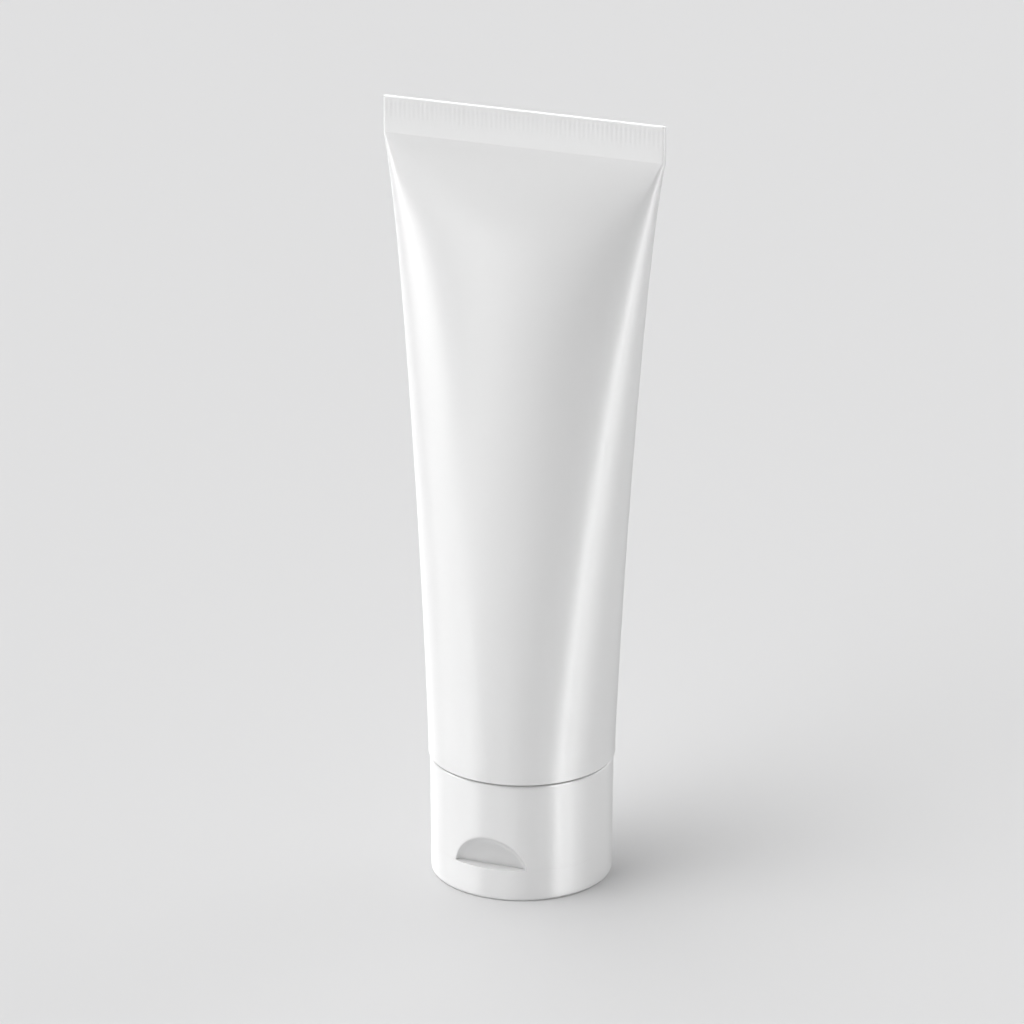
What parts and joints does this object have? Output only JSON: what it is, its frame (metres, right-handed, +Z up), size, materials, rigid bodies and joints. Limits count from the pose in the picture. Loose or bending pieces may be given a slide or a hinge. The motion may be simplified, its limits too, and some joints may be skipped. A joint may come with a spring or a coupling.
{
  "type": "denture adhesive tube",
  "caption": "Plain white squeeze tube with a flat ribbed crimp, standing head down on a flip-top cap with a half-moon finger recess.",
  "frame": {"origin": "on the floor under the tube's axis, at the centre of the lid's outer face", "axes": "+Z up from the lid to the crimp, -Y out of the finger recess, X along the crimp"},
  "size_m": [0.0544, 0.035, 0.148],
  "materials": {
    "sleeve_white": "smooth white film, satin gloss",
    "head_white": "plain moulded",
    "cream": "soft pink paste",
    "cap_white": "smooth moulded white, satin gloss"
  },
  "bodies": {
    "tube": {"tube_sleeve": "sleeve_white", "tube_head": "head_white", "adhesive_cream": "cream", "cap_base": "cap_white"},
    "lid": {"cap_lid": "cap_white"}
  },
  "joints": [
    {"name": "lid_hinge", "type": "hinge", "parent": "tube", "child": "lid", "pos_m": [0, 0.01634, 0.0062], "axis": [1, 0, 0], "range_deg": [0, 170]}
  ]
}
